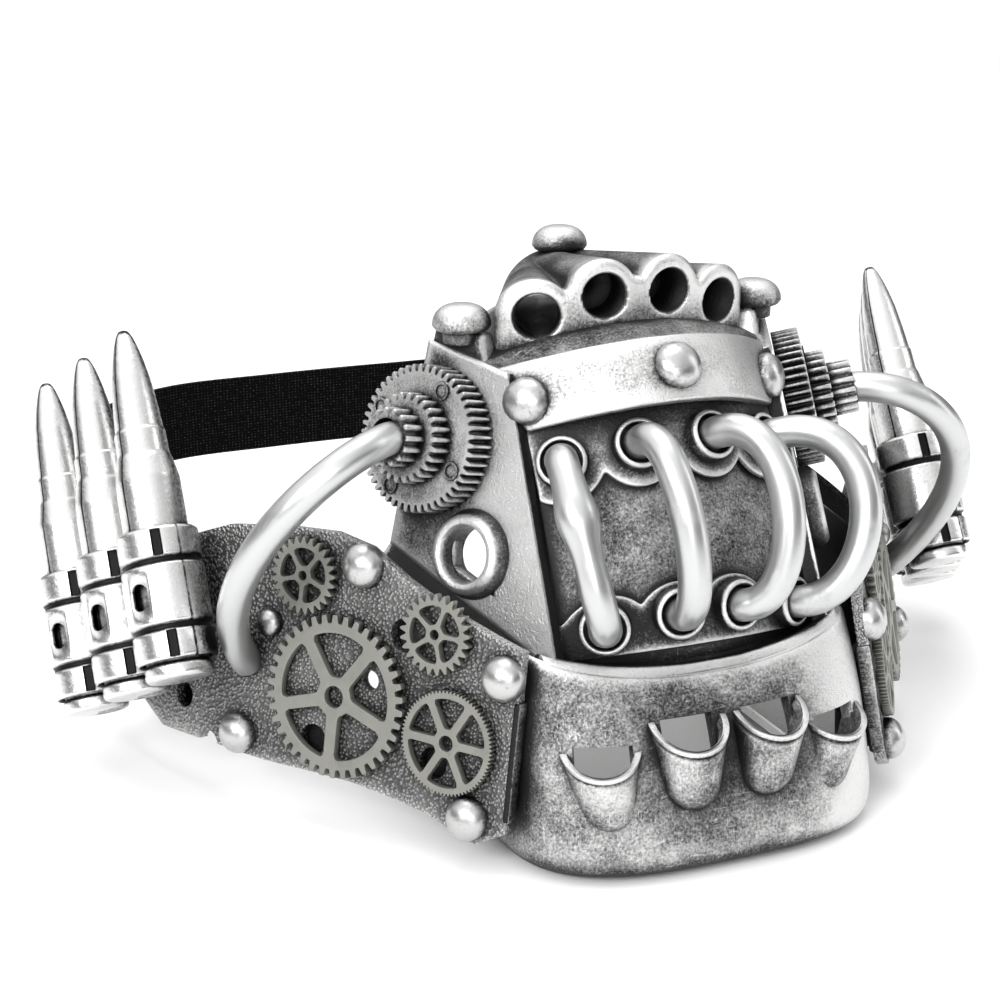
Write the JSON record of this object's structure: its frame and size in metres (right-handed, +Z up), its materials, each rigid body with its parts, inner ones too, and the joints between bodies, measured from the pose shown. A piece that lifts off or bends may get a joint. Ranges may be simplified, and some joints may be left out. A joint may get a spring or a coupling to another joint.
{
  "type": "steampunk half mask",
  "caption": "Moulded half mask for nose and mouth with bent tubes, stepped gears, pierced cheek plates, linked cartridges and an elastic head strap.",
  "frame": {"origin": "centre of the bounding box in plan, on the floor under the chin", "axes": "+Z up, -Y out of the face, +Y towards the wearer's head and the back of the strap, +X to the right of someone looking at the mask"},
  "size_m": [0.2004, 0.2288, 0.1002],
  "materials": {
    "antique_silver": "moulded plastic painted silver with a dark antique wash",
    "dark_silver": "silver paint with a heavier dark wash",
    "satin_tube": "satin silver flexible tube",
    "bright_silver": "bright metallic silver",
    "grained_plate": "leather-grained plate, silver on the high spots",
    "flat_metal": "matt grey stamped metal",
    "black_elastic": "black knitted elastic"
  },
  "bodies": {
    "root": {"muzzle_shell": "antique_silver", "jaw_shell": "antique_silver", "port_manifold": "antique_silver", "brow_band": "antique_silver", "band_rivet_left": "bright_silver", "band_rivet_middle": "bright_silver", "band_rivet_right": "bright_silver", "bolt_left": "antique_silver", "bolt_top": "antique_silver", "bolt_right": "antique_silver", "collar_plate_upper": "dark_silver", "collar_plate_lower": "dark_silver", "front_tube_1": "satin_tube", "front_tube_2": "satin_tube", "front_tube_3": "satin_tube", "front_tube_4": "satin_tube", "side_port_left": "antique_silver", "side_port_right": "antique_silver", "gear_stack_left": "dark_silver", "gear_stack_right": "dark_silver", "side_tube_left": "satin_tube", "side_tube_right": "satin_tube", "cheek_plate_left": "grained_plate", "cheek_plate_right": "grained_plate", "wheel_left": "flat_metal", "wheel_right": "flat_metal", "disc_left": "flat_metal", "disc_right": "flat_metal", "star_left": "flat_metal", "star_right": "flat_metal", "pinion_left": "flat_metal", "pinion_right": "flat_metal", "cheek_rivet_top_left": "bright_silver", "cheek_rivet_top_right": "bright_silver", "cheek_rivet_front_left": "bright_silver", "cheek_rivet_front_right": "bright_silver", "cheek_rivet_chin_left": "bright_silver", "cheek_rivet_chin_right": "bright_silver", "cheek_rivet_rear_left": "bright_silver", "cheek_rivet_rear_right": "bright_silver", "cheek_rivet_small_left": "bright_silver", "cheek_rivet_small_right": "bright_silver", "cartridge_1_left": "bright_silver", "cartridge_2_left": "bright_silver", "cartridge_3_left": "bright_silver", "cartridge_1_right": "bright_silver", "cartridge_2_right": "bright_silver", "cartridge_3_right": "bright_silver", "link_1_left": "bright_silver", "link_2_left": "bright_silver", "link_3_left": "bright_silver", "link_1_right": "bright_silver", "link_2_right": "bright_silver", "link_3_right": "bright_silver", "strap": "black_elastic"}
  },
  "joints": []
}
